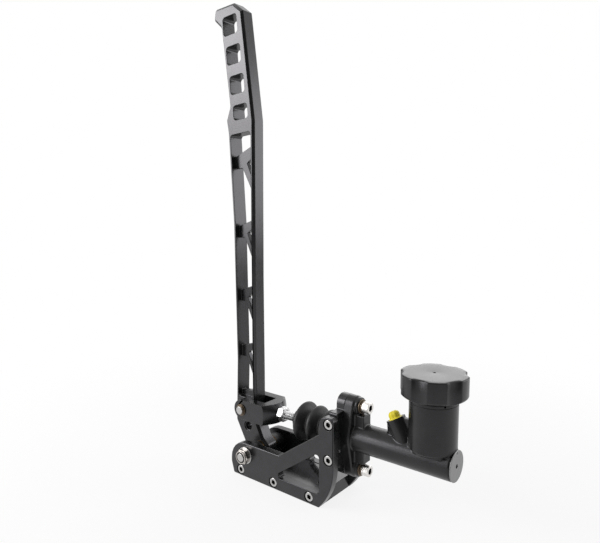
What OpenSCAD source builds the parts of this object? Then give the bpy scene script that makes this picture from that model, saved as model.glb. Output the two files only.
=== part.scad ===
// Upright hydraulic parking brake lever on a bolt-down base, with its master cylinder and fluid bowl.
// Millimetres. +Z is up and +X runs from the lever towards the cylinder. The origin is the middle of
// the four mounting holes, on the underside of the base. Lengths along X below start at the pivot.

/* [Base] */
// Width over both side plates
base_w = 56; // [54:1:60]
// Thickness of each side plate
plate_t = 8; // [7.5:0.5:9]
// Thickness of the floor plate
floor_t = 12; // [11.5:0.25:12.5]
// Floor plate ahead of the pivot
floor_front = 17; // [16:0.5:18]
// Floor plate behind the pivot
floor_rear = 88.5; // [87:0.5:90]
// Height of the side plates around the pivot
ear_h = 35; // [34:0.5:37]
// Height of the lever's pivot
pivot_z = 23.4; // [23.4:0.1:24.4]
// Pivot to the rear faces of the posts
post_rear = 103; // [102:0.5:105]
// Width of the posts and of the slanted braces
brace_w = 13.7; // [12:0.1:15]
// Slope of the braces, in degrees
brace_slope = 35.3; // [34:0.1:36]
// Pivot to the middle of the mounting holes
hole_mid = 48; // [46:0.5:48]
// Mounting hole spacing, lengthways
hole_pitch_x = 60; // [56:1:60]
// Mounting hole spacing, across
hole_pitch_y = 15; // [14:0.5:16]
// Mounting hole diameter, for M8 bolts
hole_d = 8.5; // [8.4:0.1:9]

/* [Lever] */
// Thickness of the lever
lever_t = 16; // [15:0.5:16.5]
// Chamfer around both faces of the lever
lever_chamfer = 2.2; // [1.6:0.1:2.4]
// Height of the lever's top
lever_h = 456.5; // [440:0.5:470]
// Thickness of the two rails of the beam
rail_t = 4; // [3.4:0.1:4.4]
// Thickness of the webs between the rails
web_t = 5; // [4:0.5:7]
// Lean of the grip away from the cylinder, in degrees
grip_lean = 7.5; // [6.5:0.25:8.5]
// Spacing of the windows in the grip
window_pitch = 27.9; // [27.5:0.1:28.2]

/* [Linkage] */
// Clevis pin ahead of the pivot
pin_ahead = 16; // [15:0.5:17]
// Height of the push rod and cylinder axis
axis_z = 62.5; // [62:0.25:63.5]
// Width of the clevis
clevis_w = 35; // [33:0.5:36]
// Height of the clevis
clevis_h = 20; // [18:0.5:21]
// Push rod and clevis pin diameter
rod_d = 8; // [7.5:0.1:8]

/* [Cylinder] */
// Bore of the master cylinder
bore_d = 19.05; // [18.8:0.05:19.2]
// Outside diameter of the cylinder tube
tube_d = 25.4; // [25:0.2:26.4]
// Spacing of the two flange bolts
bolt_pitch = 57.15; // [57:0.05:58]
// Thickness of the flange over its bolt bosses
flange_t = 12; // [11:0.5:13]
// Pivot to the far end of the cylinder
cylinder_end = 203.1; // [203.1:0.1:206]

/* [Fluid bowl] */
// Pivot to the bowl's axis
bowl_x = 182.4; // [181.6:0.1:182.4]
// Outside diameter of the bowl
bowl_d = 39; // [37:0.5:39]
// Outside diameter of the cap
cap_d = 54; // [52:0.2:55]
// Height of the cap's top
cap_top = 134; // [133:0.5:138]
// Number of scallops around the cap
scallops = 6; // [5:1:8]

/* [Fits] */
// Radial gap of a running fit
run_gap = 0.05; // [0.03:0.01:0.08]
// Gap between faces that pass each other
slide_gap = 0.3; // [0.3:0.05:0.4]
// Radial gap around screws, and of pressed pieces
seat_gap = 0.02; // [0.01:0.01:0.04]

/* [Hidden] */
$fn = 64;

black = [0.07, 0.07, 0.075];
dark_rubber = [0.04, 0.04, 0.04];
steel = [0.72, 0.72, 0.73];
zinc = [0.82, 0.81, 0.79];
bronze = [0.62, 0.46, 0.22];
yellow = [0.9, 0.78, 0.08];
far = 200;
tiny = 0.01;

// Base
inner_w = base_w - 2 * plate_t;
plate_y = inner_w / 2 + plate_t / 2;
plate_edge = 0.6;
bracket_t = 8.5;
bracket_front = post_rear - bracket_t;
screw_x = post_rear - bracket_t / 2;
screw_rise = 16;
post_top = axis_z + screw_rise + 8.5;
plate_top = axis_z + screw_rise + 6.2;
plate_rear = post_rear + 1.5;
post_front = post_rear - brace_w;
floor_screw_xs = [-floor_front + 9.3, 35, floor_rear - 10.8];
screw_d = 5;
head_d = 8.5;
head_h = 5;
sink_d = 10;
sink_h = 5.4;
screw_reach = 6.4;
key_d = 4.6;
brace_rise = tan(brace_slope);
brace_foot_x = 42.6;
brace_drop = brace_w / cos(brace_slope);
window_z = floor_t + 0.5;
window_x = brace_foot_x - 1.1;
toe_top = 40;
toe_r = (pow(plate_rear - floor_rear, 2) + pow(toe_top, 2)) / (2 * (plate_rear - floor_rear));

// Pivot
pivot_d = 8;
sleeve_d = 12;
bush_d = 14.6;
bush_flange_d = 16;
bush_flange_t = 1.5;
pivot_washer_d = 16.4;
pivot_washer_t = 1.6;
pivot_nut_w = 13;
pivot_nut_h = 4.6;
nut_collar_h = 1.6;
bolt_end = 0.4;
hub_r = pivot_z - floor_t - 0.4;
heel_z = 46;

// Lever
grip_h = 95;
grip_foot_z = lever_h - grip_h;
beam_top_z = grip_foot_z - 25.5;
beam_mid_z = beam_top_z - 88;
beam_foot_z = 72;
bend_z = beam_top_z + 10;
front_edge = [[54, -34], [110, -31.5], [beam_mid_z, -33], [beam_top_z, -38]];
back_edge = [[49, -4.2], [100, -5.8], [bend_z, -2.8]];
web_zs = [beam_top_z - 28.5, beam_top_z - 96.5, beam_top_z - 160.5, 118.5];
web_ups = [17, 13.5, 12.5, 11];
web_down = 36;
knee_share = 0.36;
stem_h = 11;
fork_w = 10;
fork_up = 4.5;
fork_down = 21;
foot_web_z = 77;
web_root = 1;
window_w = 18.5;
window_hs = [17.5, 17.2, 17.4, 13.8];
window_top_z = lever_h - 10.9;
window_top_x = grip_back_x(window_top_z) - 17;
window_r = 3;

// Linkage
pin_x = -pin_ahead;
cheek_y = lever_t / 2 + slide_gap;
slot_end_x = 8;
clevis_end_x = 21.5;
clevis_cone = 10.4;
clevis_seat_r = 7.4;
jam_nut_h = 6.5;
jam_nut_w = 13;
pin_proud = 3.2;
clip_t = 1;
clip_out = 1;
spare_hole_z = 42.5;
spare_sink_d = 10.4;
spare_sink_h = 1;

// Cylinder
spigot_x = bracket_front - 3.5;
spigot_r = 13.8;
spigot_gap = 0.4;
flange_rear = post_rear + flange_t;
lobe_r = 8.5;
flange_plate_t = flange_t - 3.5;
bolt_boss_r = lobe_r - 0.9;
waist_r = 15.2;
bolt_rise = bolt_pitch / 2;
bolt_d = 6;
bolt_head_d = 10;
bolt_head_h = 6.5;
washer_t = 2.8;
washer_d = 12.6;
plug_face_t = 1.1;
tube_end = cylinder_end - plug_face_t;
chamber_end = tube_end - 12;
groove_x = spigot_x + 1.5;
groove_r = bore_d / 2 + 1;
stop_x = groove_x + clip_t + 0.05;
stop_t = 1.4;
stop_hole_r = rod_d / 2 + 0.9;
ball_r = rod_d / 2 + 1.6;
ball_x = stop_x + stop_t + sqrt(pow(ball_r, 2) - pow(stop_hole_r, 2)) + slide_gap;
cup_r = ball_r + 0.8;
cup_gap = 0.4;
piston_r = bore_d / 2 - run_gap;
piston_x = stop_x + stop_t + slide_gap;
piston_l = 38;
piston_end = piston_x + piston_l;
secondary_in = 11;
primary_in = 6;
stem_bore_l = 19;
stem_r = 2;
stem_head_r = 3.4;
stem_bore_r = 4.6;
seat_t = 1.6;

// Boot
boot_x = 43;
boot_ribs = 3;
boot_wall = 1.7;
rib_x = 46.5;
rib_end = 88.5;
rib_out = [18.6, 17.6, 16.8];
rib_in = 11.5;

// Fluid bowl
bowl_z = axis_z + 9.5;
bowl_floor = axis_z + 16.5;
bowl_wall = 3;
rim_drop = 8.5;
skirt_drop = 18.5;
bellows_h = 8;
rim_z = cap_top - rim_drop;
cap_z = cap_top - skirt_drop;
cap_taper = 2;
skirt_r = bowl_d / 2 + 0.6;
cap_land = rim_z + 2;
bellows_r = bowl_d / 2 - bowl_wall - 1.6;

// Outlet port
port_x = bowl_x - 19.4;
port_tilt = -29;
port_reach = 29.8;
port_r = 8.3;
port_foot_r = 8.8;
port_bore_r = 4.5;
port_mouth_r = 6.6;
port_mouth_h = 2;

function unit(v) = v / norm(v);

// One corner of an outline as an arc that touches both of its sides
function corner_arc(before, corner, after, r, steps) =
    let (
        u = unit(before - corner),
        v = unit(after - corner),
        half = acos(u * v) / 2,
        centre = corner + unit(u + v) * r / sin(half),
        first = corner + u * r / tan(half) - centre,
        last = corner + v * r / tan(half) - centre,
        start = atan2(first.y, first.x),
        sweep = (atan2(last.y, last.x) - start + 540) % 360 - 180
    )
    [for (i = [0:steps]) centre + r * [cos(start + sweep * i / steps), sin(start + sweep * i / steps)]];

// Outline through corners given as [x, y, radius]
function rounded(corners, steps = 6) =
    let (n = len(corners))
    [for (i = [0:n - 1])
        let (
            xy = function (k) [corners[(k + n) % n].x, corners[(k + n) % n].y],
            r = corners[i][2]
        )
        each r > 0 ? corner_arc(xy(i - 1), xy(i), xy(i + 1), r, steps) : [xy(i)]];

function arc(centre, r, start, end, steps = 10) =
    [for (i = [0:steps]) let (a = start + (end - start) * i / steps) centre + r * [cos(a), sin(a)]];

// The same outline moved inwards, corner by corner; the outline runs counter-clockwise
function inset(outline, depth) =
    let (n = len(outline), left = function (v) [-v.y, v.x])
    [for (i = [0:n - 1])
        let (
            before = left(unit(outline[i] - outline[(i + n - 1) % n])),
            after = left(unit(outline[(i + 1) % n] - outline[i]))
        )
        outline[i] + (before + after) * depth / (1 + before * after)];

// Slab standing in the XZ plane, centred on Y = 0, with both of its faces chamfered all round.
// The sloping sides run past the faces, and flat planes then cut the faces.
module chamfered_slab(outline, thickness, chamfer) {
    n = len(outline);
    past = 0.4;
    half = thickness / 2;
    small = inset(outline, chamfer + past);
    rings = [
        [small, -half - past],
        [outline, chamfer - half],
        [outline, half - chamfer],
        [small, half + past]
    ];
    points = [for (ring = rings) for (p = ring[0]) [p.x, ring[1], p.y]];
    sides = [for (level = [0:2]) for (i = [0:n - 1])
        let (j = (i + 1) % n)
        [level * n + j, (level + 1) * n + j, (level + 1) * n + i, level * n + i]];
    near = [for (i = [0:n - 1]) n - 1 - i];
    away = [for (i = [0:n - 1]) 3 * n + i];
    intersection() {
        polyhedron(points, concat([near, away], sides), convexity = 10);
        upright(-half, half)
        square(5 * far, center = true);
    }
}

// Outline in the XZ plane drawn out along Y from y0 to y1
module upright(y0, y1) {
    translate([0, y1, 0])
    rotate([90, 0, 0])
    linear_extrude(y1 - y0)
    children();
}

// Outline in the YZ plane drawn out along X from x0 to x1
module crosswise(x0, x1) {
    translate([x0, 0, 0])
    rotate([90, 0, 90])
    linear_extrude(x1 - x0)
    children();
}

// Round bar along X from x0 to x1
module bar_x(x0, x1, r) {
    translate([x0, 0, 0])
    rotate([0, 90, 0])
    cylinder(h = x1 - x0, r = r);
}

// Round bar along Y from y0 to y1
module bar_y(y0, y1, r) {
    translate([0, y0, 0])
    rotate([-90, 0, 0])
    cylinder(h = y1 - y0, r = r);
}

// Profile of [radius, x] points turned about the X axis
module turned_x(profile) {
    rotate([0, 90, 0])
    rotate_extrude()
    polygon(profile);
}

module on_axis() {
    translate([0, 0, axis_z])
    children();
}

module at_pivot() {
    translate([0, 0, pivot_z])
    children();
}

module at_pin() {
    translate([pin_x, 0, axis_z])
    children();
}

module both_sides() {
    children();
    mirror([0, 1, 0])
    children();
}

// Places of the screws that enter from one side, in the XZ plane
module at_floor_screws() {
    for (x = floor_screw_xs) {
        translate([x, 0, floor_t / 2 + 0.3])
        children();
    }
}

module at_bracket_screws() {
    for (s = [-1, 1]) {
        translate([screw_x, 0, axis_z + s * screw_rise])
        children();
    }
}

module at_flange_bolts() {
    for (s = [-1, 1]) {
        translate([0, 0, axis_z + s * bolt_rise])
        children();
    }
}

// Socket head screw along Y, its head sunk into the left side plate
module side_screw() {
    head_y = -base_w / 2 + sink_h;
    difference() {
        union() {
            bar_y(head_y - head_h, head_y, head_d / 2);
            bar_y(head_y - tiny, -inner_w / 2 + screw_reach - 0.4, screw_d / 2);
        }
        translate([0, head_y - head_h - 1, 0])
        rotate([-90, 0, 0])
        cylinder(h = 3.5, d = key_d, $fn = 6);
    }
}

function plate_outline() = concat(
    rounded([
        [-floor_front, 0, 2],
        [-floor_front - 3.5, 12, 8],
        [-floor_front - 3.5, ear_h, 19],
        [brace_foot_x, ear_h, 4],
        [post_front, ear_h + (post_front - brace_foot_x) * brace_rise, 3],
        [post_front, plate_top, 7],
        [plate_rear, plate_top, 4],
        [plate_rear, toe_top, 0]
    ]),
    [for (p = arc([plate_rear - toe_r, toe_top], toe_r, -4, -asin(toe_top / toe_r))) p]
);

function brace_under(x) = ear_h + (x - brace_foot_x) * brace_rise - brace_drop;

// Side plate seen from the camera's side, its outer face at -Y
module side_plate() {
    difference() {
        translate([0, -plate_y, 0])
        // The outline runs clockwise, so it is turned round first
        chamfered_slab([for (i = [len(plate_outline()) - 1:-1:0]) plate_outline()[i]], plate_t, plate_edge);
        upright(-far, 0)
        polygon(rounded([
            [window_x, window_z, 2.5],
            [window_x, brace_under(window_x), 2],
            [post_front, brace_under(post_front), 3],
            [post_front, window_z, 3]
        ]));
        at_pivot()
        bar_y(-far, 0, pivot_d / 2 + run_gap);
        at_floor_screws()
        screw_hole();
        at_bracket_screws()
        screw_hole();
    }
}

module screw_hole() {
    bar_y(-far, 0, screw_d / 2 + 0.2);
    bar_y(-far, -base_w / 2 + sink_h, sink_d / 2);
}

module left_side_plate() {
    color(black)
    side_plate();
}

module right_side_plate() {
    color(black)
    mirror([0, 1, 0])
    side_plate();
}

module floor_plate() {
    color(black)
    difference() {
        translate([-floor_front, -inner_w / 2, 0])
        cube([floor_front + floor_rear, inner_w, floor_t]);
        for (sx = [-1, 1], sy = [-1, 1]) {
            translate([hole_mid + sx * hole_pitch_x / 2, sy * hole_pitch_y / 2, -1])
            cylinder(h = floor_t + 2, d = hole_d);
        }
        both_sides()
        at_floor_screws()
        bar_y(-inner_w / 2 - 1, -inner_w / 2 + screw_reach, screw_d / 2 + seat_gap);
    }
}

module floor_screws() {
    color(steel)
    both_sides()
    at_floor_screws()
    side_screw();
}

module bracket_screws() {
    color(steel)
    both_sides()
    at_bracket_screws()
    side_screw();
}

// Upright plate between the side plates that carries the cylinder's flange
module cylinder_bracket() {
    shoulder = inner_w / 2;
    foot = axis_z - screw_rise - 8;
    lobe_top = axis_z + bolt_rise + lobe_r;
    lobe_foot = axis_z - bolt_rise - lobe_r;
    neck = lobe_r + 0.5;
    color(black)
    difference() {
        crosswise(bracket_front, post_rear)
        polygon(rounded([
            [shoulder, foot, 2],
            [shoulder, post_top, 1.5],
            [neck, post_top, 1],
            [neck, lobe_top, 8.4],
            [-neck, lobe_top, 8.4],
            [-neck, post_top, 1],
            [-shoulder, post_top, 1.5],
            [-shoulder, foot, 2],
            [-neck, foot, 1],
            [-neck, lobe_foot, 8.4],
            [neck, lobe_foot, 8.4],
            [neck, foot, 1]
        ]));
        on_axis()
        bar_x(0, far, spigot_r + spigot_gap / 2);
        at_flange_bolts()
        bar_x(0, far, bolt_d / 2 + seat_gap);
        both_sides()
        at_bracket_screws()
        bar_y(-shoulder - 1, -shoulder + screw_reach, screw_d / 2 + seat_gap);
        at_dowels()
        bar_x(post_rear - 5, far, 1.5 + seat_gap);
    }
}

module at_dowels() {
    for (s = [-1, 1]) {
        translate([0, s * (inner_w / 2 - 2.8), axis_z - 9.5])
        children();
    }
}

module bracket_dowels() {
    color(steel)
    at_dowels()
    bar_x(post_rear - 5, post_rear + 0.8, 1.5);
}

// Bolt through both side plates, its head on the right
module pivot_bolt() {
    head_y = base_w / 2 + pivot_washer_t;
    color(steel)
    at_pivot()
    difference() {
        union() {
            bar_y(head_y, head_y + 5.3, pivot_nut_w / sqrt(3) - 0.4);
            bar_y(-head_y - pivot_nut_h - nut_collar_h - bolt_end, head_y + tiny, pivot_d / 2);
        }
        translate([0, head_y + 2.6, 0])
        rotate([-90, 0, 0])
        cylinder(h = 4, d = key_d * 1.2, $fn = 6);
    }
}

// Locking nut: six flats, then a round collar that holds the ring
module pivot_nut() {
    seat_y = -base_w / 2 - pivot_washer_t;
    color(steel)
    at_pivot()
    difference() {
        union() {
            translate([0, seat_y, 0])
            rotate([90, 0, 0])
            cylinder(h = pivot_nut_h, d = pivot_nut_w * 2 / sqrt(3), $fn = 6);
            bar_y(seat_y - pivot_nut_h - nut_collar_h, seat_y - pivot_nut_h + tiny, pivot_nut_w / 2 - 0.5);
        }
        bar_y(-far, 0, pivot_d / 2 + seat_gap);
    }
}

module pivot_washers() {
    color(steel)
    both_sides()
    at_pivot()
    difference() {
        bar_y(-base_w / 2 - pivot_washer_t, -base_w / 2, pivot_washer_d / 2);
        bar_y(-far, 0, pivot_d / 2 + 0.2);
    }
}

// Tube that the side plates clamp and the lever turns on
module pivot_sleeve() {
    color(steel)
    at_pivot()
    difference() {
        bar_y(-inner_w / 2, inner_w / 2, sleeve_d / 2);
        bar_y(-far, far, pivot_d / 2 + run_gap);
    }
}

module pivot_spacers() {
    outer = inner_w / 2;
    color(black)
    both_sides()
    at_pivot()
    difference() {
        bar_y(-outer, -lever_t / 2 - bush_flange_t - slide_gap, sleeve_d / 2 + 2);
        bar_y(-far, 0, sleeve_d / 2 + seat_gap);
    }
}

module lever_bushes() {
    face = lever_t / 2;
    color(bronze)
    both_sides()
    at_pivot()
    difference() {
        union() {
            bar_y(-face - bush_flange_t, -face, bush_flange_d / 2);
            bar_y(-face - tiny, -0.2, bush_d / 2);
        }
        bar_y(-far, 0, sleeve_d / 2 + run_gap);
    }
}

function front_x(z) = lookup(z, front_edge);
function back_x(z) = lookup(z, back_edge);
function pocket_front(z) = front_x(z) + rail_t;
function pocket_back(z) = back_x(z) - rail_t;
function grip_front_x(z) = front_x(grip_foot_z - 26) + 3 - (z - grip_foot_z) * tan(grip_lean);
function grip_back_x(z) = back_x(bend_z) - (z - bend_z) * tan(grip_lean - 0.3);

function lever_outline() =
    let (nose_z = lever_h - 19.7, bevel_z = lever_h - 8.8)
    concat(
        rounded([
            [3.2, pivot_z + 11, 0],
            [back_x(49), 49, 8],
            [back_x(100), 100, 60],
            [back_x(bend_z), bend_z, 15],
            [grip_back_x(bevel_z), bevel_z, 0],
            [grip_back_x(bevel_z) - 11.6, lever_h, 0],
            [grip_front_x(nose_z) - 7.6, lever_h - 1, 3],
            [grip_front_x(nose_z) - 9.8, nose_z + 8.7, 3.2],
            [grip_front_x(nose_z), nose_z, 4],
            [grip_front_x(grip_foot_z), grip_foot_z, 6],
            [front_x(beam_top_z) - 2.2, beam_top_z + 12.5, 4],
            [front_x(beam_top_z), beam_top_z, 10],
            [front_x(beam_mid_z), beam_mid_z, 60],
            [front_x(110), 110, 60],
            [front_x(54), heel_z, 8],
            [-17, pivot_z - 7.5, 5],
            [-3, pivot_z - hub_r, 0]
        ], 4),
        arc([0, pivot_z], hub_r, -95, 35)
    );

// Forked web between the rails: a short stem at the front, a flat arm and a steep one to the back
function web_outline(i) =
    let (z = web_zs[i])
    [
        [pocket_front(z) - web_root, z + stem_h / 2],
        [pocket_front(z) - web_root, z - stem_h / 2],
        [pocket_front(z) + knee_share * (pocket_back(z) - pocket_front(z)), z - stem_h / 2],
        [pocket_back(z - web_down) + web_root, z - web_down],
        [pocket_back(z) + web_root, z + web_ups[i]]
    ];

// Three-cornered opening beside the back rail, in the fork of a web
function fork_outline(z) =
    rounded([
        [pocket_back(z) - fork_w, z - 1, 0.8],
        [pocket_back(z) - web_root, z - fork_down, 0.8],
        [pocket_back(z) - web_root, z + fork_up, 0.8]
    ], 3);

module beam_webs() {
    foot = beam_foot_z - web_root;
    upright(-web_t / 2, web_t / 2) {
        for (i = [0:len(web_zs) - 1]) {
            difference() {
                polygon(web_outline(i));
                polygon(fork_outline(web_zs[i]));
            }
        }
        polygon([
            [pocket_front(foot) - web_root, foot],
            [pocket_back(foot) + web_root, foot],
            [pocket_back(foot) + web_root, foot_web_z + 3],
            [pocket_front(foot) - web_root, foot_web_z]
        ]);
    }
}

module beam_opening() {
    polygon(rounded([
        [pocket_front(beam_foot_z), beam_foot_z, 3],
        [pocket_back(beam_foot_z), beam_foot_z, 3],
        [pocket_back(beam_top_z), beam_top_z, 3],
        [pocket_front(beam_top_z), beam_top_z - 2, 3],
        [pocket_front(beam_mid_z), beam_mid_z, 60],
        [pocket_front(110), 110, 60]
    ], 4));
}

module grip_windows() {
    for (i = [0:len(window_hs) - 1]) {
        top = window_top_z - i * window_pitch;
        translate([window_top_x + i * window_pitch * tan(grip_lean + 0.7), top])
        rotate(grip_lean * 0.6)
        polygon(rounded([
            [-window_w / 2, -window_hs[i], window_r],
            [window_w / 2, -window_hs[i], window_r],
            [window_w / 2, 0, window_r],
            [-window_w / 2, 0, window_r]
        ]));
    }
}

// One-piece lever: grip with windows, open beam with forked webs, and the foot around the pivot
module lever() {
    color(black)
    union() {
        difference() {
            chamfered_slab(lever_outline(), lever_t, lever_chamfer);
            upright(-far, far)
            grip_windows();
            upright(-far, far)
            beam_opening();
            at_pivot()
            bar_y(-far, far, bush_d / 2 + seat_gap);
            at_pin()
            bar_y(-far, far, rod_d / 2 + run_gap);
            translate([pin_x, 0, spare_hole_z]) {
                bar_y(-far, far, rod_d / 2 + run_gap);
                both_sides()
                bar_y(-far, spare_sink_h - lever_t / 2, spare_sink_d / 2);
            }
        }
        beam_webs();
    }
}

// Yoke over both faces of the lever, its tail turned to a cone and tapped for the push rod
module clevis() {
    nose_x = pin_x - clevis_h / 2;
    corner_r = norm([clevis_w, clevis_h]) / 2 + 1;
    color(black)
    difference() {
        intersection() {
            union() {
                at_pin()
                bar_y(-clevis_w / 2, clevis_w / 2, clevis_h / 2);
                translate([pin_x, -clevis_w / 2, axis_z - clevis_h / 2])
                cube([clevis_end_x - pin_x, clevis_w, clevis_h]);
            }
            on_axis()
            turned_x([
                [0, nose_x - 1],
                [corner_r, nose_x - 1],
                [corner_r, clevis_end_x - clevis_cone],
                [clevis_seat_r, clevis_end_x],
                [0, clevis_end_x]
            ]);
        }
        translate([nose_x - 1, -cheek_y, 0])
        cube([slot_end_x - nose_x + 1, 2 * cheek_y, far]);
        at_pin()
        bar_y(-far, far, rod_d / 2 + seat_gap);
        on_axis()
        bar_x(0, far, rod_d / 2 + seat_gap);
    }
}

module clevis_pin() {
    end = clevis_w / 2 + pin_proud;
    color(steel)
    at_pin()
    difference() {
        bar_y(-end, end, rod_d / 2);
        both_sides()
        clip_ring(rod_d / 2 - 0.6, rod_d, 0);
    }
}

// Ring around the clevis pin, beside its washer
module clip_ring(inner, outer, play) {
    y = -clevis_w / 2 - clip_t;
    difference() {
        bar_y(y - clip_t + play, y - play, outer);
        bar_y(-far, 0, inner);
    }
}

module clevis_washers() {
    color(steel)
    both_sides()
    at_pin()
    difference() {
        bar_y(-clevis_w / 2 - clip_t, -clevis_w / 2, rod_d / 2 + 1.9);
        bar_y(-far, 0, rod_d / 2 + 0.1);
    }
}

module clevis_clips() {
    color(steel)
    both_sides()
    at_pin()
    clip_ring(rod_d / 2 - 0.6 + seat_gap, rod_d / 2 + clip_out, 0.01);
}

module jam_nut() {
    color(zinc)
    on_axis()
    difference() {
        translate([clevis_end_x, 0, 0])
        rotate([0, 90, 0])
        rotate(30)
        cylinder(h = jam_nut_h, d = jam_nut_w * 2 / sqrt(3), $fn = 6);
        bar_x(0, far, rod_d / 2 + seat_gap);
    }
}

// Rod from the clevis to the ball that pushes the piston
module push_rod() {
    color(zinc)
    on_axis() {
        bar_x(slot_end_x + 2, ball_x, rod_d / 2);
        translate([ball_x, 0, 0])
        sphere(r = ball_r);
    }
}

// Outer radius of the boot along X: waves that get smaller towards the cylinder
function boot_r(x) =
    let (
        turn = (x - rib_x) / (rib_end - rib_x) * boot_ribs,
        crest = lookup(turn, [[0.5, rib_out[0]], [1.5, rib_out[1]], [2.5, rib_out[2]]])
    )
    rib_in + (crest - rib_in) * (1 - cos(turn * 360)) / 2;

module dust_boot() {
    steps = 30;
    waves = [for (i = [0:steps]) let (x = rib_x + (rib_end - rib_x) * i / steps) [boot_r(x), x]];
    neck_r = rod_d / 2 + slide_gap;
    cuff_r = spigot_r + seat_gap;
    outside = concat(
        [[neck_r + 2.4, boot_x], [neck_r + 2.4, rib_x - 1]],
        waves,
        [[cuff_r + 2.2, spigot_x - 1], [cuff_r + 2.2, bracket_front]]
    );
    inside = concat(
        [[cuff_r, bracket_front], [cuff_r, spigot_x - tiny], [rib_in - boot_wall, spigot_x - 0.5]],
        [for (i = [steps:-1:0]) [waves[i][0] - boot_wall, waves[i][1]]],
        [[neck_r, rib_x - 1], [neck_r, boot_x]]
    );
    color(dark_rubber)
    on_axis()
    turned_x(concat(outside, inside));
}

// Two-lobed outline of the flange: arcs of the waist and the lobes, joined by the lines that touch them
module flange_outline() {
    lean = asin((waist_r - lobe_r) / bolt_rise);
    polygon(concat(
        arc([0, 0], waist_r, -lean, lean, 4),
        arc([0, bolt_rise], lobe_r, lean, 180 - lean, 24),
        arc([0, 0], waist_r, 180 - lean, 180 + lean, 4),
        arc([0, -bolt_rise], lobe_r, 180 + lean, 360 - lean, 24)
    ));
}

module at_port() {
    translate([port_x, 0, axis_z])
    rotate([0, port_tilt, 0])
    children();
}

// Casting: flange, tube, bowl and outlet boss in one piece
module cylinder_body() {
    rib_end_x = flange_rear + 5.8;
    rib_w = 12;
    rib_top = bolt_rise - washer_d / 2 - slide_gap;
    color(black)
    difference() {
        union() {
            on_axis() {
                bar_x(spigot_x, post_rear + 1, spigot_r);
                crosswise(post_rear, post_rear + flange_plate_t)
                flange_outline();
                bar_x(post_rear + 1, tube_end, tube_d / 2);
                translate([post_rear + 1, -rib_w / 2, -rib_top])
                cube([rib_end_x - post_rear - 1, rib_w, 2 * rib_top]);
            }
            at_flange_bolts()
            bar_x(post_rear + 1, flange_rear, bolt_boss_r);
            translate([bowl_x, 0, 0]) {
                translate([0, 0, bowl_z])
                cylinder(h = cap_z - 1.5 - bowl_z, d = bowl_d);
                translate([0, 0, bowl_z - 3])
                cylinder(h = 4, d = bowl_d - 6);
                translate([0, 0, cap_z - 2])
                cylinder(h = rim_z - cap_z + 2, d = bowl_d - 1.2);
            }
            at_port()
            translate([0, 0, 6])
            cylinder(h = port_reach - 6, r1 = port_foot_r, r2 = port_r);
            translate([port_x, -2.2, axis_z])
            cube([12, 4.4, port_reach * cos(port_tilt) - 4]);
        }
        on_axis() {
            bar_x(0, far * 2, bore_d / 2);
            bar_x(groove_x, groove_x + clip_t, groove_r);
        }
        at_flange_bolts()
        bar_x(0, far, bolt_d / 2 + 0.3);
        translate([bowl_x, 0, bowl_floor])
        cylinder(h = far, r = bowl_d / 2 - bowl_wall);
        translate([bowl_x, 0, axis_z])
        cylinder(h = far, r = 1.6);
        at_port() {
            cylinder(h = far, r = 2);
            translate([0, 0, port_reach - 13])
            cylinder(h = far, r = port_bore_r);
            translate([0, 0, port_reach - port_mouth_h])
            cylinder(h = far, r = port_mouth_r);
        }
    }
}

module flange_bolts() {
    seat_x = flange_rear + washer_t;
    color(steel)
    at_flange_bolts()
    difference() {
        union() {
            bar_x(seat_x, seat_x + bolt_head_h, bolt_head_d / 2);
            bar_x(bracket_front + 0.5, seat_x + tiny, bolt_d / 2);
        }
        translate([seat_x + bolt_head_h - 4, 0, 0])
        rotate([0, 90, 0])
        cylinder(h = 5, d = key_d * 1.25, $fn = 6);
    }
}

module flange_washers() {
    color(steel)
    at_flange_bolts()
    difference() {
        bar_x(flange_rear, flange_rear + washer_t, washer_d / 2);
        bar_x(0, far, bolt_d / 2 + 0.2);
    }
}

// Screwed plug that closes the tube, with a centre mark in its face
module end_plug() {
    color(zinc)
    on_axis()
    difference() {
        union() {
            bar_x(chamber_end, tube_end, bore_d / 2 - seat_gap);
            bar_x(tube_end, cylinder_end, tube_d / 2);
        }
        bar_x(cylinder_end - 4, far * 2, 1.7);
        translate([0, 0, tube_d / 2 - 2.2])
        bar_x(cylinder_end - plug_face_t / 2, far * 2, 1);
    }
}

module circlip() {
    gap_w = 3;
    color(steel)
    on_axis()
    difference() {
        bar_x(groove_x + seat_gap, groove_x + clip_t - seat_gap, groove_r - seat_gap);
        bar_x(0, far, bore_d / 2 - 1.6);
        translate([0, -gap_w / 2, 0])
        cube([far, gap_w, far]);
    }
}

module stop_washer() {
    color(steel)
    on_axis()
    difference() {
        bar_x(stop_x, stop_x + stop_t, piston_r - 0.1);
        bar_x(0, far, stop_hole_r);
    }
}

// Places of the two seals along the piston
secondary_x = piston_x + secondary_in;
primary_x = piston_end - primary_in;
seal_w = 3.2;
seal_r = 6.8;

module piston() {
    cup_x = ball_x + cup_gap;
    color(zinc)
    on_axis()
    difference() {
        bar_x(piston_x, piston_end, piston_r);
        translate([cup_x, 0, 0])
        sphere(r = cup_r);
        bar_x(0, cup_x, cup_r);
        bar_x(piston_end - stem_bore_l, far, stem_bore_r);
        for (x = [secondary_x, primary_x]) {
            difference() {
                bar_x(x, x + seal_w, far);
                bar_x(0, far, seal_r);
            }
        }
    }
}

module seal(x) {
    on_axis()
    difference() {
        bar_x(x + seat_gap, x + seal_w - seat_gap, piston_r);
        bar_x(0, far, seal_r + seat_gap);
    }
}

module primary_seal() {
    color(dark_rubber)
    seal(primary_x);
}

module secondary_seal() {
    color(dark_rubber)
    seal(secondary_x);
}

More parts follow.
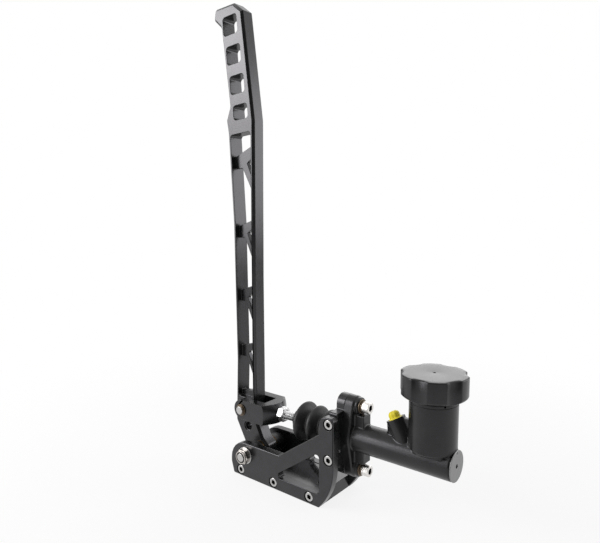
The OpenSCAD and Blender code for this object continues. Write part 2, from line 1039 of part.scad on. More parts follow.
// Thimble on the piston's nose that centres the spring and holds the valve stem's head
module spring_seat() {
    color(steel)
    on_axis()
    difference() {
        union() {
            bar_x(piston_end, piston_end + seat_t, piston_r - 0.6);
            bar_x(piston_end, piston_end + 6, stem_r + 1.8);
        }
        bar_x(0, far, stem_r + slide_gap);
    }
}

// Helical spring between the thimble and the end of the chamber
module return_spring() {
    wire_r = 0.8;
    coil_r = bore_d / 2 - 1.9;
    turns = 7;
    sides = 8;
    steps = turns * 18;
    start = piston_end + seat_t + wire_r + 0.05;
    length = chamber_end - start - wire_r - 0.05;
    points = [for (i = [0:steps], k = [0:sides - 1])
        let (
            around = 360 * turns * i / steps,
            about = 360 * k / sides,
            r = coil_r + wire_r * cos(about)
        )
        [start + length * i / steps + wire_r * sin(about), r * cos(around), r * sin(around)]];
    skin = [for (i = [0:steps - 1], k = [0:sides - 1])
        let (next = (k + 1) % sides)
        [i * sides + k, i * sides + next, (i + 1) * sides + next, (i + 1) * sides + k]];
    first = [for (k = [0:sides - 1]) sides - 1 - k];
    last = [for (k = [0:sides - 1]) steps * sides + k];
    color(steel)
    on_axis()
    polyhedron(points, concat(skin, [first, last]), convexity = 10);
}

// Stem whose head the thimble pulls, so that the bowl's feed opens when the piston is back
module valve_stem() {
    color(steel)
    on_axis() {
        bar_x(piston_end - 2.5, piston_end - 0.5, stem_head_r);
        bar_x(piston_end - 1, chamber_end - 2, stem_r);
        bar_x(chamber_end - 4.5, chamber_end - 2, stem_head_r + 1);
    }
}

module valve_seal() {
    color(dark_rubber)
    on_axis()
    bar_x(chamber_end - 2, chamber_end, stem_head_r + 2);
}

module reservoir_cap() {
    r = cap_d / 2;
    scoop_r = 16;
    scoop_depth = 2.2;
    color(black)
    difference() {
        translate([bowl_x, 0, 0])
        rotate_extrude()
        polygon([
            [skirt_r, cap_z],
            [r - cap_taper, cap_z],
            [r, cap_z + cap_taper],
            [r, cap_top - 1],
            [r - 1, cap_top],
            [0, cap_top],
            [0, cap_top - 3.5],
            [bellows_r, cap_top - 3.5],
            [bellows_r, cap_land],
            [skirt_r, cap_land]
        ]);
        for (i = [0:scallops - 1]) {
            translate([bowl_x, 0, cap_z - 1])
            rotate(i * 360 / scallops)
            translate([r + scoop_r - scoop_depth, 0, 0])
            cylinder(h = far, r = scoop_r);
        }
        translate([bowl_x, 0, 0])
        cylinder(h = far, r = 1.1);
    }
}

// Rubber cup under the cap: its rim is held between the cap and the bowl
module cap_diaphragm() {
    floor_z = rim_z - bellows_h;
    wall = 1.4;
    color(dark_rubber)
    translate([bowl_x, 0, 0])
    rotate_extrude()
    polygon([
        [0, floor_z],
        [bellows_r - slide_gap, floor_z],
        [bellows_r - slide_gap, rim_z],
        [bowl_d / 2 - 0.6, rim_z],
        [bowl_d / 2 - 0.6, cap_land],
        [bellows_r - slide_gap - wall, cap_land],
        [bellows_r - slide_gap - wall, floor_z + wall],
        [0, floor_z + wall]
    ]);
}

// Soft plug that keeps the outlet clean until a brake line is fitted
module port_plug() {
    seat = port_reach - port_mouth_h;
    color(yellow)
    at_port()
    rotate_extrude()
    polygon(concat(
        [[0, seat - 8], [port_bore_r - slide_gap - 0.4, seat - 8], [port_bore_r - slide_gap, seat]],
        [[port_mouth_r - slide_gap, seat], [port_mouth_r - slide_gap, seat + 3]],
        arc([0, seat + 3], port_mouth_r - slide_gap, 0, 90)
    ));
}

// Moves the pivot's lengths to the origin between the mounting holes
module placed() {
    translate([-hole_mid, 0, 0])
    children();
}

placed() left_side_plate();
placed() right_side_plate();
placed() floor_plate();
placed() cylinder_bracket();
placed() floor_screws();
placed() bracket_screws();
placed() bracket_dowels();
placed() pivot_bolt();
placed() pivot_nut();
placed() pivot_washers();
placed() pivot_sleeve();
placed() pivot_spacers();
placed() lever();
placed() lever_bushes();
placed() clevis();
placed() clevis_pin();
placed() clevis_washers();
placed() clevis_clips();
placed() jam_nut();
placed() push_rod();
placed() dust_boot();
placed() cylinder_body();
placed() flange_bolts();
placed() flange_washers();
placed() end_plug();
placed() circlip();
placed() stop_washer();
placed() piston();
placed() primary_seal();
placed() secondary_seal();
placed() spring_seat();
placed() return_spring();
placed() valve_stem();
placed() valve_seal();
placed() reservoir_cap();
placed() cap_diaphragm();
placed() port_plug();
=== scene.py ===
"""Looks of an upright hydraulic parking brake lever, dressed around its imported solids.

Shapes are worked out in millimetres and put into the meshes in metres. X runs from the lever towards the
cylinder, Z is up, and the origin is the middle of the four mounting holes.
"""
import math

import bmesh
import bpy
import numpy as np
from mathutils import Matrix, Vector


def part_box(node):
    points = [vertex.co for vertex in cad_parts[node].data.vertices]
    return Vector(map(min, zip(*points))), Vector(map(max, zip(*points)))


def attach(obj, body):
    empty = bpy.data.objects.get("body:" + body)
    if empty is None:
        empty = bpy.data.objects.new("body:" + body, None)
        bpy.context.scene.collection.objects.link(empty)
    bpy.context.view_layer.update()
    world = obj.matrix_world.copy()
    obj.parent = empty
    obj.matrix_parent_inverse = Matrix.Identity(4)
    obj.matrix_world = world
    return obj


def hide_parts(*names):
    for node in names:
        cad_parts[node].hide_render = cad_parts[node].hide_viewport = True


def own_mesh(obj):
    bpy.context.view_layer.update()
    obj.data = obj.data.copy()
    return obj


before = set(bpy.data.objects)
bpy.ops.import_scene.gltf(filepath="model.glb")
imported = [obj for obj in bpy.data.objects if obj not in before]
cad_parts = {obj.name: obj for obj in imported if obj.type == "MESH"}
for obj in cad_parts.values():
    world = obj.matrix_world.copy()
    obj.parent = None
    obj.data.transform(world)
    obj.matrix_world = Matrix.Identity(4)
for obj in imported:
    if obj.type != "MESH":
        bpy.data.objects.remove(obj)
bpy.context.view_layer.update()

# Places and sizes that the solids share, in millimetres
MM = 0.001
TURN = 2 * math.pi
ROD_AXIS_Z = 62.5
PIVOT = (-48.0, 23.4)
PIN = (-64.0, 62.5)
HALF_WIDTH = 28.0
BOLT_RISE = 57.15 / 2
BOWL_X = 134.4
PORT_X = 115.0
PORT_LEAN = math.radians(-29)
PORT_AXIS = (math.sin(PORT_LEAN), 0.0, math.cos(PORT_LEAN))
PORT_REACH = 29.8
THREAD_HOLE_R = 4.05

# Axes of turned pieces, each as a place and a direction
ROD_LINE = [((0, 0, ROD_AXIS_Z), (1, 0, 0))]
BOWL_LINE = [((BOWL_X, 0, 0), (0, 0, 1))]
PORT_LINE = [((PORT_X, 0, ROD_AXIS_Z), PORT_AXIS)]

# Places of the fasteners, in millimetres
FLOOR_SCREW_X = (-55.7, -13.0, 29.7)
FLOOR_SCREW_Z = 6.3
BRACKET_SCREW_X = 50.75
BRACKET_SCREW_RISE = 16
SCREW_SEAT_Y = HALF_WIDTH - 5.4
BOLT_SEAT_X = 69.8
PIVOT_SEAT_Y = HALF_WIDTH + 1.6
PIN_SEAT_Y = 17.5

# Smoothness of turned pieces, in sides
SIDES = 96
FINE_SIDES = 128
FINEST_SIDES = 288

# Camera of the photograph, from its fitted corners
CAMERA_AT = (0.31974, -0.39717, 0.26511)
CAMERA_AZIMUTH = math.radians(38.966)
CAMERA_PITCH = math.radians(6.738)
CAMERA_ROLL = math.radians(-0.284)
CAMERA_LENS = 33.31


def place_camera():
    """Looks along (-sin a cos p, cos a cos p, -sin p), then turns about that line by the roll."""
    a, p, r = CAMERA_AZIMUTH, CAMERA_PITCH, CAMERA_ROLL
    ahead = Vector((-math.sin(a) * math.cos(p), math.cos(a) * math.cos(p), -math.sin(p)))
    level = Vector((math.cos(a), math.sin(a), 0.0))
    rise = level.cross(ahead)
    right = math.cos(r) * level + math.sin(r) * rise
    up = math.cos(r) * rise - math.sin(r) * level
    data = bpy.data.cameras.new("photo_camera")
    data.sensor_fit = "HORIZONTAL"
    data.sensor_width = 36.0
    data.lens = CAMERA_LENS
    data.clip_start = 0.01
    camera = bpy.data.objects.new("photo_camera", data)
    turn = Matrix((right, up, -ahead)).transposed().to_4x4()
    camera.matrix_world = Matrix.Translation(CAMERA_AT) @ turn
    bpy.context.scene.collection.objects.link(camera)
    bpy.context.scene.camera = camera


place_camera()


# Shader maths


class Wire:
    """One output of a shader node. Sums and products of wires add Math nodes to the same tree."""

    def __init__(self, tree, socket=None):
        self.tree = tree
        self.socket = socket

    def node(self, kind, settings=None, sockets=None, output=0):
        """A node of that type: its settings first, then the values or wires of its sockets."""
        made = self.tree.nodes.new(kind)
        for name, value in (settings or {}).items():
            if name == "stops":
                set_stops(made.color_ramp, value)
            else:
                setattr(made, name, value)
        for key, value in (sockets or {}).items():
            if isinstance(value, Wire):
                self.tree.links.new(value.socket, made.inputs[key])
            else:
                made.inputs[key].default_value = value
        return Wire(self.tree, made.outputs[output] if made.outputs else None)

    def maths(self, operation, first, second=0.0):
        return self.node("ShaderNodeMath", {"operation": operation}, {0: first, 1: second})

    def __add__(self, other):
        return self.maths("ADD", self, other)

    def __radd__(self, other):
        return self.maths("ADD", other, self)

    def __sub__(self, other):
        return self.maths("SUBTRACT", self, other)

    def __rsub__(self, other):
        return self.maths("SUBTRACT", other, self)

    def __mul__(self, other):
        return self.maths("MULTIPLY", self, other)

    def __rmul__(self, other):
        return self.maths("MULTIPLY", other, self)

    def between(self, low, high):
        """0 below low, 1 above high, and a smooth step from one to the other."""
        settings = {"interpolation_type": "SMOOTHSTEP"}
        return self.node("ShaderNodeMapRange", settings, {"Value": self, "From Min": low, "From Max": high})

    def mix(self, first, second):
        """Colour that goes from first to second as this wire goes from 0 to 1."""
        return self.node("ShaderNodeMix", {"data_type": "RGBA"}, {0: self, 6: first, 7: second}, 2)


def set_stops(ramp, stops):
    """Puts (place, colour) stops into a colour ramp that starts with two."""
    for element, (place, colour) in zip(ramp.elements, stops):
        element.position = place
        element.color = colour


def grey(value, warmth=0.0):
    """Opaque grey, tinted a little towards red where warmth is positive and blue where it is negative."""
    return (value * (1 + warmth), value, value * (1 - warmth), 1.0)


def new_material(name):
    """Empty material and the wire that its nodes start from."""
    material = bpy.data.materials.new(name)
    material.use_nodes = True
    material.node_tree.nodes.clear()
    return material, Wire(material.node_tree)


def finish(name, recipe, **steady):
    """Principled material. The recipe gives the sockets that vary from the wire and the Object coordinates;
    steady gives the ones that are the same all over."""
    material, start = new_material(name)
    place = start.node("ShaderNodeTexCoord", output="Object")
    sockets = {key.replace("_", " "): value for key, value in steady.items()}
    sockets.update(recipe(start, place))
    shader = start.node("ShaderNodeBsdfPrincipled", {}, sockets)
    start.node("ShaderNodeOutputMaterial", {}, {"Surface": shader})
    return material


def noise(start, place, grain_mm, detail=2.0):
    """Cloudy value around 0.5 whose blotches are about grain_mm across."""
    sockets = {"Vector": place, "Scale": 1 / (grain_mm * MM), "Detail": detail}
    return start.node("ShaderNodeTexNoise", {}, sockets, "Fac")


def bump(start, height, depth_mm, strength=1.0, under=None):
    """Normal of a surface that stands up by depth_mm where the height is 1."""
    sockets = {"Height": height, "Distance": depth_mm * MM, "Strength": strength}
    if under is not None:
        sockets["Normal"] = under
    return start.node("ShaderNodeBump", {}, sockets)


def blasted_black(gloss):
    """Recipe of black anodise over fine blasting: faint clouds in tone and gloss, and a close grain."""

    def recipe(start, place):
        cloud = noise(start, place, 9.0, 3.0)
        grain = noise(start, place, 0.35, 3.0)
        return {
            "Base Color": cloud.between(0.3, 0.7).mix(grey(0.006, -0.05), grey(0.011, -0.05)),
            "Roughness": gloss + 0.08 * cloud + 0.05 * grain,
            "Normal": bump(start, grain, 0.012, 0.5),
        }

    return recipe


def coated_black(start, place):
    """Black coating over a casting: a soft orange peel, a finer grain and faint clouds in gloss."""
    cloud = noise(start, place, 14.0, 3.0)
    peel = noise(start, place, 1.6, 2.0)
    grain = noise(start, place, 0.4, 2.0)
    coarse = bump(start, peel, 0.05, 0.5)
    return {
        "Base Color": cloud.between(0.3, 0.7).mix(grey(0.006, -0.03), grey(0.012, -0.02)),
        "Roughness": 0.22 + 0.1 * cloud + 0.05 * peel,
        "Normal": bump(start, grain, 0.012, 0.5, coarse),
    }


def plated_steel(tone, warmth, gloss):
    """Recipe of a bright plated fastener: clouded tone and gloss, with a fine drawn grain."""

    def recipe(start, place):
        cloud = noise(start, place, 3.0, 3.0)
        grain = noise(start, place, 0.25, 2.0)
        return {
            "Base Color": cloud.mix(grey(tone * 0.82, warmth), grey(tone, warmth * 0.6)),
            "Roughness": gloss + 0.12 * cloud + 0.06 * grain,
            "Normal": bump(start, grain, 0.008, 0.5),
        }

    return recipe


def turned_metal(start, place):
    """Machined aluminium face: fine rings about the rod's axis, over faint clouds."""
    centred = start.node("ShaderNodeVectorMath", {"operation": "SUBTRACT"},
                         {0: place, 1: (0.0, 0.0, ROD_AXIS_Z * MM)})
    across = start.node("ShaderNodeVectorMath", {"operation": "MULTIPLY"}, {0: centred, 1: (0.0, 1.0, 1.0)})
    radius = start.node("ShaderNodeVectorMath", {"operation": "LENGTH"}, {0: across}, "Value")
    rings = start.maths("SINE", radius * (TURN / (0.45 * MM)))
    cloud = noise(start, place, 6.0, 3.0)
    return {
        "Base Color": cloud.mix(grey(0.19), grey(0.27)),
        "Roughness": 0.36 + 0.1 * cloud,
        "Normal": bump(start, 0.5 + 0.5 * rings, 0.01, 0.5),
    }


def moulded_rubber(start, place):
    """Black rubber: a dusty bloom in blotches and a fine skin."""
    bloom = noise(start, place, 7.0, 4.0)
    skin = noise(start, place, 0.5, 3.0)
    return {
        "Base Color": bloom.between(0.35, 0.8).mix(grey(0.003), grey(0.010)),
        "Roughness": 0.40 + 0.16 * bloom,
        "Normal": bump(start, skin, 0.02, 0.6),
    }


def soft_yellow(start, place):
    """Yellow soft plastic: slight clouds in colour and a fine moulded skin."""
    cloud = noise(start, place, 4.0, 3.0)
    skin = noise(start, place, 0.6, 2.0)
    return {
        "Base Color": cloud.mix((0.62, 0.50, 0.015, 1.0), (0.85, 0.72, 0.04, 1.0)),
        "Roughness": 0.36 + 0.14 * cloud,
        "Normal": bump(start, skin, 0.03, 0.5),
    }


def bearing_bronze(start, place):
    """Oiled sintered bronze: dark and warm, with small darker pores."""
    pores = noise(start, place, 0.5, 3.0)
    return {
        "Base Color": pores.between(0.3, 0.6).mix((0.03, 0.02, 0.01, 1.0), (0.10, 0.065, 0.03, 1.0)),
        "Roughness": 0.42 + 0.2 * pores,
        "Normal": bump(start, pores, 0.02, 0.5),
    }


COOL_SHEEN = (0.98, 0.95, 1.0, 1.0)
ANODISED = finish("black_anodised", blasted_black(gloss=0.19), IOR=1.55, Specular_Tint=COOL_SHEEN)
GLOSSY_BLACK = finish("glossy_anodised", blasted_black(gloss=0.10), IOR=1.5, Specular_Tint=COOL_SHEEN)
CASTING = finish("black_casting", coated_black, IOR=1.44, Specular_Tint=COOL_SHEEN)
STAINLESS = finish("stainless", plated_steel(tone=0.54, warmth=0.015, gloss=0.18), Metallic=1.0)
BRIGHT_STEEL = finish("bright_steel", plated_steel(tone=0.78, warmth=0.04, gloss=0.20), Metallic=1.0)
BROWNED = finish("browned_steel", plated_steel(tone=0.12, warmth=0.35, gloss=0.30), Metallic=1.0)
# Near-black metal on the socket walls and floors: painted shade in the hex recesses
PAINTED_SOCKET_SHADE = finish("painted_socket_shade", plated_steel(tone=0.05, warmth=0.05, gloss=0.40), Metallic=1.0)
WARM_ZINC = finish("warm_zinc", plated_steel(tone=0.54, warmth=0.08, gloss=0.20), Metallic=1.0)
BRIGHT_ZINC = finish("bright_zinc", plated_steel(tone=0.72, warmth=0.0, gloss=0.24), Metallic=1.0)
ALUMINIUM = finish("bare_aluminium", turned_metal, Metallic=1.0)
RUBBER = finish("moulded_rubber", moulded_rubber, IOR=1.5)
YELLOW = finish("soft_yellow", soft_yellow, IOR=1.45)
BRONZE = finish("bearing_bronze", bearing_bronze, Metallic=1.0)


# Making pieces from numbers


def softened(corners, radius, steps=4, closed=False):
    """Profile with rounded corners. A corner P becomes (1-t)^2 A + 2t(1-t) P + t^2 B for t from 0 to 1, with
    A and B on its two sides, radius away from P or 0.45 of the side where that is less. Open ends stay."""
    corners = np.asarray(corners, float)
    radius = np.broadcast_to(np.asarray(radius, float), len(corners))
    before = np.roll(corners, 1, 0) - corners
    after = np.roll(corners, -1, 0) - corners
    t = np.linspace(0, 1, steps + 1)[None, :, None]
    ends = []
    for side in (before, after):
        length = np.maximum(np.linalg.norm(side, axis=1), 1e-9)
        reach = np.minimum(radius, 0.45 * length)
        ends.append((corners + side * (reach / length)[:, None])[:, None, :])
    middle = corners[:, None, :]
    curves = (1 - t) ** 2 * ends[0] + 2 * t * (1 - t) * middle + t ** 2 * ends[1]
    if closed:
        return curves.reshape(-1, 2)
    return np.vstack([corners[:1], curves[1:-1].reshape(-1, 2), corners[-1:]])


def around(sides):
    """Angles of that many equal steps around a circle."""
    return np.arange(sides) * TURN / sides


def six_sided(width, angles):
    """Radius of a hexagon that is width across its flats: half the width over the cosine of the angle from
    the nearest flat."""
    step = TURN / 6
    return width / 2 / np.cos((angles + step / 2) % step - step / 2)


def frame_of(axis):
    """Two unit vectors across an axis, and the axis itself, as the rows of a matrix."""
    w = np.asarray(axis, float)
    w = w / np.linalg.norm(w)
    lead = np.array([0.0, 0.0, 1.0]) if abs(w[2]) < 0.9 else np.array([1.0, 0.0, 0.0])
    u = np.cross(lead, w)
    u = u / np.linalg.norm(u)
    return np.stack([u, np.cross(w, u), w])


def turned(radius, along, places, sides=SIDES, closed=False):
    """Surface about an axis: point(i, j) = place + axis along[i] + radius[i, j] (u cos a[j] + v sin a[j]),
    with a[j] equal steps of a full turn. A closed profile joins its last ring to its first.
    Gives points and four-sided faces, once for every (place, axis)."""
    angles = around(sides)
    along = np.asarray(along, float)
    rings = len(along)
    radius = np.broadcast_to(np.asarray(radius, float).reshape(rings, -1), (rings, sides))
    flat = np.stack([radius * np.cos(angles), radius * np.sin(angles),
                     np.broadcast_to(along[:, None], (rings, sides))], -1).reshape(-1, 3)
    i = np.arange(rings if closed else rings - 1)[:, None]
    j = np.arange(sides)[None, :]
    below = (i + 1) % rings * sides
    beside = (j + 1) % sides
    faces = np.stack([i * sides + j, i * sides + beside, below + beside, below + j], -1).reshape(-1, 4)
    points = [np.asarray(place, float) + flat @ frame_of(axis) for place, axis in places]
    shifts = [faces + k * len(flat) for k in range(len(places))]
    return np.concatenate(points), np.concatenate(shifts)


def lathe(profile, places, sides=SIDES, closed=False):
    """Turned surface of a profile of (radius, height) points."""
    profile = np.asarray(profile, float)
    return turned(profile[:, 0], profile[:, 1], places, sides, closed)


def together(*shells):
    """Several (points, faces) as one."""
    counts = np.cumsum([0] + [len(points) for points, _ in shells])
    faces = [faces + count for (_, faces), count in zip(shells, counts)]
    return np.concatenate([points for points, _ in shells]), np.concatenate(faces)


def merged_mesh(name, shell, second=None):
    """Mesh of a shell in metres, with its doubled points merged and its faces turned outwards. Faces that are
    marked in second take the second material."""
    points, faces = shell
    mesh = bpy.data.meshes.new(name)
    mesh.from_pydata((points * MM).tolist(), [], faces.tolist())
    if second is not None:
        mesh.polygons.foreach_set("material_index", np.asarray(second, int))
    work = bmesh.new()
    work.from_mesh(mesh)
    bmesh.ops.remove_doubles(work, verts=work.verts, dist=1e-7)
    bmesh.ops.dissolve_degenerate(work, edges=work.edges, dist=1e-7)
    bmesh.ops.recalc_face_normals(work, faces=work.faces)
    work.to_mesh(mesh)
    work.free()
    return mesh


def piece(name, shell, material, slot, body, *nodes, crease=35, socket=None):
    """Object of a shell that rides on a body and stands for CAD nodes; its slot argument is not used. Faces
    that are marked in socket are dark."""
    mesh = merged_mesh(name, shell, socket)
    mesh.shade_smooth()
    mesh.set_sharp_from_angle(angle=math.radians(crease))
    mesh.materials.append(material)
    # The socket faces take painted shade: a near-black second material
    if socket is not None:
        mesh.materials.append(PAINTED_SOCKET_SHADE)
    made = bpy.data.objects.new(name, mesh)
    bpy.context.scene.collection.objects.link(made)
    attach(made, body)
    if nodes:
        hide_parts(*nodes)
    return made


def both_sides(x, y, z):
    """A place on the left with its axis to the left, and its mirror image on the right."""
    return [((x, -y, z), (0, -1, 0)), ((x, y, z), (0, 1, 0))]


# Fasteners


def socket_screw(head_r, head_h, key, depth, shank_r, shank_l, knurls=0, sides=SIDES):
    """Rings of a socket head screw, the head's underside at 0: a softened profile of shank and head, knurled
    by 0.12 (1 - cos(knurls a)) / 2 on the head's side, then a hexagon that goes down by depth."""
    angles = around(sides)
    shank = [(0, -shank_l), (shank_r, -shank_l), (shank_r, 0)]
    head = [(head_r, 0), (head_r, head_h), (key / 2 + 0.7, head_h)]
    outside = softened(shank + head, [0, 0.5, 0.2, 0.25, 0.55, 0])
    radius = np.repeat(outside[:, :1], sides, 1)
    if knurls:
        on_side = np.clip((outside[:, 0] - head_r + 0.3) / 0.3, 0, 1)
        radius = radius - on_side[:, None] * 0.06 * (1 - np.cos(knurls * angles))
    hexagon = six_sided(key, angles)
    socket = np.stack([hexagon + 0.2, hexagon, hexagon, np.zeros(sides)])
    drops = [head_h, head_h - 0.3, head_h - depth, head_h - depth - 0.5]
    return np.vstack([radius, socket]), np.concatenate([outside[:, 1], drops])


def screws(name, screw, places, material, node, sides=SIDES):
    """Piece of equal socket head screws on the base. Each socket's wall and floor take a near-black material,
    which is painted shade in the recess: they are the last two rows of a screw's faces."""
    rows = len(screw[1]) - 1
    inside = np.arange(rows) >= rows - 2
    piece(name, turned(*screw, places, sides), material, "stainless", "base", node,
          socket=np.tile(np.repeat(inside, sides), len(places)))


def ring(inner, outer, low, high, soft):
    """Closed profile of a washer or sleeve with softened edges, as radius and height."""
    loop = softened([(inner, low), (outer, low), (outer, high), (inner, high)], soft, 3, True)
    return loop[:, 0], loop[:, 1]


def nut(width, height, sides=SIDES):
    """Closed rings of a nut with a corner at the first angle: the hexagon, cut by a 30 degree cone at both
    ends, then the bore with its own bevels."""
    bore = THREAD_HOLE_R
    angles = around(sides) + math.radians(30)
    levels = np.concatenate([np.linspace(0, 1.2, 9), height - np.linspace(1.2, 0, 9)])
    cone = width / 2 * 0.97 + np.minimum(levels, height - levels) * math.sqrt(3)
    outside = np.minimum(six_sided(width, angles)[None, :], cone[:, None])
    inside = np.repeat(np.array([[bore + 0.5], [bore], [bore], [bore + 0.5]]), sides, 1)
    return np.vstack([outside, inside]), np.concatenate([levels, [height, height - 0.5, 0.5, 0]])


def threaded(radius, start, end, pitch, depth, sides=SIDES):
    """Rings of a thread: radius - depth (1 - cos(2 pi (x / pitch) - a)) / 2, eight rings a turn."""
    along = np.linspace(start, end, int((end - start) / pitch * 8) + 1)
    wave = 1 - np.cos(TURN * along[:, None] / pitch - around(sides)[None, :])
    return radius - depth * wave / 2, along


def dress_side_screws():
    """Six screws into the floor plate and four into the bracket."""
    screw = socket_screw(head_r=4.25, head_h=5.0, key=4.0, depth=2.5, shank_r=2.5, shank_l=8.6)
    floor_places = sum((both_sides(x, SCREW_SEAT_Y, FLOOR_SCREW_Z) for x in FLOOR_SCREW_X), [])
    heights = (ROD_AXIS_Z - BRACKET_SCREW_RISE, ROD_AXIS_Z + BRACKET_SCREW_RISE)
    bracket_places = sum((both_sides(BRACKET_SCREW_X, SCREW_SEAT_Y, z) for z in heights), [])
    screws("floor_screw_set", screw, floor_places, STAINLESS, "floor_screws")
    screws("bracket_screw_set", screw, bracket_places, STAINLESS, "bracket_screws")


def dress_flange_bolts():
    """Two knurled bolts, each with a flat washer and a spring washer."""
    places = [((BOLT_SEAT_X, 0, ROD_AXIS_Z + s * BOLT_RISE), (1, 0, 0)) for s in (-1, 1)]
    bolt = socket_screw(head_r=5.0, head_h=6.5, key=5.0, depth=3.5, shank_r=3.0, shank_l=22.8, knurls=32,
                        sides=FINEST_SIDES)
    screws("flange_bolt_pair", bolt, places, BRIGHT_STEEL, "flange_bolts", FINEST_SIDES)
    flat = turned(*ring(inner=3.2, outer=6.3, low=-2.8, high=-1.5, soft=0.3), places, closed=True)
    spring = turned(*ring(inner=3.2, outer=5.3, low=-1.5, high=0, soft=0.25), places, closed=True)
    piece("flange_washer_pairs", together(flat, spring), BROWNED, "stainless", "base", "flange_washers")


def dress_pivot():
    """Bolt through both plates, its locking nut with a dark insert in the collar, and two washers."""
    x, z = PIVOT
    bolt = socket_screw(head_r=7.1, head_h=5.3, key=4.8, depth=2.7, shank_r=4.0,
                        shank_l=2 * PIVOT_SEAT_Y + 6.6)
    screws("pivot_through_bolt", bolt, [((x, PIVOT_SEAT_Y, z), (0, 1, 0))], STAINLESS, "pivot_bolt")
    nut_at = [((x, -PIVOT_SEAT_Y, z), (0, -1, 0))]
    flats = turned(*nut(width=13.0, height=4.6), nut_at, closed=True)
    collar = softened([(5.3, 4.4), (6.3, 4.4), (6.3, 6.2), (5.3, 6.2)], [0, 0, 0.5, 0.2], closed=True)
    lip = lathe(collar, nut_at, closed=True)
    piece("pivot_lock_nut", together(flats, lip), WARM_ZINC, "stainless", "base", "pivot_nut")
    insert = turned(*ring(inner=4.06, outer=5.28, low=4.62, high=5.5, soft=0.2), nut_at, closed=True)
    piece("pivot_nut_insert", insert, RUBBER, "rubber", "base")
    washer_at = both_sides(x, HALF_WIDTH, z)
    washers = turned(*ring(inner=4.2, outer=8.2, low=0, high=1.6, soft=0.3), washer_at, closed=True)
    piece("pivot_washer_pair", washers, STAINLESS, "stainless", "base", "pivot_washers")


def dress_clevis_pin():
    """Pin with a groove near each end, where a clip keeps a washer on."""
    half = [(4.0, 18.52), (3.4, 18.52), (3.4, 19.48), (4.0, 19.48), (4.0, 20.7), (0, 20.7)]
    mirrored = [(r, -y) for r, y in reversed(half)]
    pin = softened(mirrored + half, [0, 0.6, 0, 0, 0, 0, 0, 0, 0, 0, 0.6, 0])
    pin_at = [((PIN[0], 0, PIN[1]), (0, 1, 0))]
    piece("clevis_cross_pin", lathe(pin, pin_at), STAINLESS, "stainless", "clevis", "clevis_pin")
    ends = both_sides(PIN[0], PIN_SEAT_Y, PIN[1])
    washers = turned(*ring(inner=4.1, outer=5.9, low=0, high=1.0, soft=0.2), ends, closed=True)
    piece("clevis_washer_pair", washers, BROWNED, "stainless", "clevis", "clevis_washers")
    clips = turned(*ring(inner=3.42, outer=5.0, low=1.01, high=1.99, soft=0.2), ends, closed=True)
    piece("clevis_clip_pair", clips, BROWNED, "stainless", "clevis", "clevis_clips")


def dress_push_rod():
    """Jam nut on a rod with a threaded front and a ball at the far end, where r = ball_r sin q and
    x = ball_middle + ball_r cos q."""
    nut_start, ball_middle, ball_r = -26.5, 49.96, 5.6
    nut_r, nut_l = nut(width=13.0, height=6.5)
    piece("rod_jam_nut", turned(nut_r, nut_l + nut_start, ROD_LINE, closed=True),
          BRIGHT_ZINC, "bright_zinc", "clevis", "jam_nut")
    thread_r, thread_l = threaded(radius=4.0, start=-37.4, end=-8.0, pitch=1.25, depth=0.6)
    q = np.linspace(math.radians(135), 0, 20)
    shaft_r = np.concatenate([[3.4, 4.0, 4.0], ball_r * np.sin(q)])
    shaft_l = np.concatenate([[-7.9, -7.2, 45.6], ball_middle + ball_r * np.cos(q)])
    rod_r = np.vstack([np.zeros((1, SIDES)), thread_r, np.repeat(shaft_r[:, None], SIDES, 1)])
    rod = turned(rod_r, np.concatenate([[-38.0], thread_l, shaft_l]), ROD_LINE)
    piece("threaded_push_rod", rod, BRIGHT_ZINC, "bright_zinc", "clevis", "push_rod")


dress_side_screws()
dress_flange_bolts()
dress_pivot()
dress_clevis_pin()
dress_push_rod()


# Rubber boot and return spring


def dress_boot():
    """Bellows about the rod: r(x) = valley + (crest - valley) w^0.62 with w = (1 - cos 2 pi t) / 2 and t
    counting the ribs, with a front lip and a cuff on the cylinder's spigot. The inside is 1.7 mm further in.
    The collar that grips the rod goes with the rod, which tilts by 1.5 mm at the lip, so the lip's hole is
    wider than the rod."""
    valley, lip_x, cuff_x = 11.5, -2.9, 46.5
    t = np.linspace(0.02, 2.98, 150)
    x = -1.5 + 42.0 * t / 3
    crest = np.interp(t, [0.5, 1.5, 2.5], [18.6, 17.6, 16.8])
    wave = ((1 - np.cos(TURN * t)) / 2) ** 0.62
    outer = valley + (crest - valley) * wave
    lip = softened([(6.3, lip_x), (10.2, lip_x), (outer[0], x[0])], [0, 0.8, 0])
    cuff = softened([(outer[-1], x[-1]), (16.0, 41.8), (16.0, cuff_x), (13.82, cuff_x), (13.82, 43.2)],
                    [0, 0.8, 0.7, 0.3, 0])
    inside = np.stack([outer - 1.7, x], -1)[::-1]
    loop = np.vstack([lip, np.stack([outer, x], -1)[1:-1], cuff, inside, [(6.3, -1.4)]])
    bellows = lathe(loop, ROD_LINE, FINE_SIDES, True)
    boot = piece("bellows_boot", bellows, RUBBER, "rubber", "base", "dust_boot", crease=70)
    grip = softened([(4.03, -6.6), (6.6, -6.6), (6.9, -4.6), (9.3, -4.2), (9.3, -3.2), (4.03, -3.2)],
                    [0.2, 0.6, 1.0, 0.4, 0.4, 0], closed=True)
    piece("boot_collar", lathe(grip, ROD_LINE, FINE_SIDES, True), RUBBER, "rubber", "clevis", crease=50)
    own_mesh(boot)


